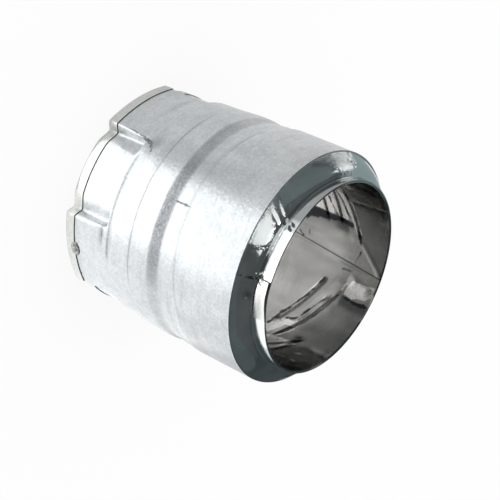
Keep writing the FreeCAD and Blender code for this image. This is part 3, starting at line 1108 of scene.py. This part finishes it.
world = bpy.data.worlds.new("studio")
bpy.context.scene.world = world
sky = cleared(world)
direction = add_node(sky, "TexCoord").outputs["Generated"]
height = add_node(sky, "SeparateXYZ", (0, direction)).outputs["Z"]
strength = add_node(sky, "MapRange", ("Value", height), ("From Min", 0), ("From Max", 0.1),
                    ("To Min", 0.45), ("To Max", 0.095), interpolation_type="SMOOTHSTEP").outputs["Result"]
mirrored = add_node(sky, "Background", ("Color", (0.93, 1, 1, 1)), ("Strength", strength)).outputs[0]
seen = add_node(sky, "Background", ("Color", (1, 1, 1, 1)), ("Strength", 1)).outputs[0]
in_metal = add_node(sky, "LightPath").outputs["Is Glossy Ray"]
choice = add_node(sky, "MixShader", (0, in_metal), (1, seen), (2, mirrored)).outputs[0]
add_node(sky, "OutputWorld", ("Surface", choice))

# %% [markdown]
# The floor is a white sheet with a soft shadow. To the camera and in the metal it also glows, so it stays
# white. A brighter lamp would do that too, but would burn out the metal.

# %% Floor: white to the camera and in the metal, with a soft shadow
bpy.ops.mesh.primitive_plane_add(size=6)
floor = bpy.context.object
floor.name = "floor"
white = bpy.data.materials.new("floor_white")
paint = cleared(white)
matt = add_node(paint, "BsdfDiffuse", ("Color", (0.9, 0.9, 0.9, 1))).outputs[0]
glow = add_node(paint, "Emission", ("Color", (1, 1, 1, 1)), ("Strength", 1)).outputs[0]
bright = add_node(paint, "MixShader", (0, 0.87), (1, matt), (2, glow)).outputs[0]
ray = add_node(paint, "LightPath").outputs
camera_ray, metal_ray = ray["Is Camera Ray"], ray["Is Glossy Ray"]
direct = add_node(paint, "Math", (0, camera_ray), (1, metal_ray), operation="MAXIMUM").outputs[0]
choice = add_node(paint, "MixShader", (0, direct), (1, matt), (2, bright)).outputs[0]
add_node(paint, "OutputMaterial", ("Surface", choice))
floor.data.materials.append(white)

# %% [markdown]
# Each card is a plane that gives off its own light, so its brightness in the metal is one number. The lit
# one on the floor is narrowed where it meets the part, because the bright streak on the barrel narrows too.

# %% Cards, seen only in the metal
def card(name, size, at, turn, strength, tint=(1, 1, 1)):
    """A card that only reflections show, turned by angles in degrees or, with None, to face the dome."""
    if turn is None:
        rotation = (Vector((0, 0, 0.085)) - Vector(at)).to_track_quat("Z", "Y").to_euler()
    else:
        rotation = [math.radians(a) for a in turn]
    bpy.ops.mesh.primitive_plane_add(size=1, location=at, rotation=rotation)
    sheet = bpy.context.object
    sheet.name = name
    bpy.ops.transform.resize(value=(*size, 1), orient_type="LOCAL")
    glowing = bpy.data.materials.new(name)
    tree = cleared(glowing)
    glow = add_node(tree, "Emission", ("Color", (*tint, 1)), ("Strength", strength)).outputs[0]
    add_node(tree, "OutputMaterial", ("Surface", glow))
    sheet.data.materials.append(glowing)
    sheet.visible_camera = False
    sheet.visible_diffuse = False
    sheet.visible_shadow = False
    sheet.visible_transmission = False
    print("card", name, "gives off", strength)
    return sheet


dark_tint = (0.82, 1, 1.02)
warm_tint = (1, 0.97, 0.95)
lying, across, along = (0, 0, 0), (90, 0, 0), (90, 0, 90)
narrowed, streak_x = 0.105, -0.0088     # share of the width that is left, and where it is centred
lit = card("lit_card", (0.4, 0.22), (0.085, -0.153, 0.0006), lying, 2.4)
bpy.ops.object.transform_apply(location=True, scale=True)
bpy.ops.object.mode_set(mode="EDIT")
pick(lit, lambda a, r, z: abs(turned(a, -90)) > 60)
bpy.ops.transform.resize(value=(narrowed, 1, 1), center_override=(streak_x, 0, 0))
bpy.ops.object.mode_set(mode="OBJECT")
card("lit_side", (0.26, 0.34), (0.14, -0.11, 0.0005), lying, 1.55)
card("grey_floor", (0.3, 0.6), (-0.32, 0.0, 0.0005), lying, 0.8, warm_tint)
card("dark_front", (0.6, 0.2), (0, -0.32, 0.19), across, 0.125, dark_tint)
card("dark_right", (0.6, 0.3), (0.26, 0.0, 0.15), along, 0.12, dark_tint)
card("dark_back", (0.36, 0.3), (0.13, 0.2, 0.15), across, 0.07, dark_tint)
card("grey_back", (0.2, 0.3), (-0.13, 0.24, 0.15), (90, 0, 20), 0.4, dark_tint)
card("grey_left", (0.4, 0.07), (-0.3, -0.08, 0.035), along, 0.4, warm_tint)
card("dim_left", (0.6, 0.5), (-0.36, -0.05, 0.42), along, 0.165, dark_tint)
card("lit_back", (0.17, 0.2), (-0.31, 0.2, 0.218), None, 1.2)
card("lit_high", (0.15, 0.25), (-0.054, -0.188, 0.283), None, 1.3)
card("lit_below", (0.06, 0.06), (0, 0, 0.0004), lying, 1.9)

# %% [markdown]
# One soft lamp, high over the front, lights what isn't mirrored: the zinc's grain and the floor.

# %% The lamp, turned to the middle of the part
light = bpy.data.lights.new("key", "AREA")
light.shape = "SQUARE"
light.size = 0.14
light.energy = 0.25
lamp = bpy.data.objects.new("key", light)
bpy.context.scene.collection.objects.link(lamp)
lamp.location = (-0.075, -0.13, 0.66)
lamp.rotation_euler = (Vector((0, 0, 0.05)) - lamp.location).to_track_quat("-Z", "Y").to_euler()

# %% [markdown]
# A long lens from some way off keeps the tube's sides almost parallel. The matrix holds the camera's axes
# in its first three columns and its place in the last, as they were fitted to the photograph's ellipses.

# %% Camera at the photograph's angle
lens = bpy.data.cameras.new("camera")
lens.lens = 109.05
lens.sensor_width = 36
camera = bpy.data.objects.new("camera", lens)
bpy.context.scene.collection.objects.link(camera)
camera.matrix_world = Matrix((
    (-0.42064, -0.90723, 0, 0.00312),
    (0.48599, -0.22533, -0.84442, -0.48567),
    (0.76608, -0.35520, 0.53568, 0.36357),
    (0, 0, 0, 1),
))
bpy.context.scene.camera = camera
bpy.context.scene.view_settings.view_transform = "Standard"
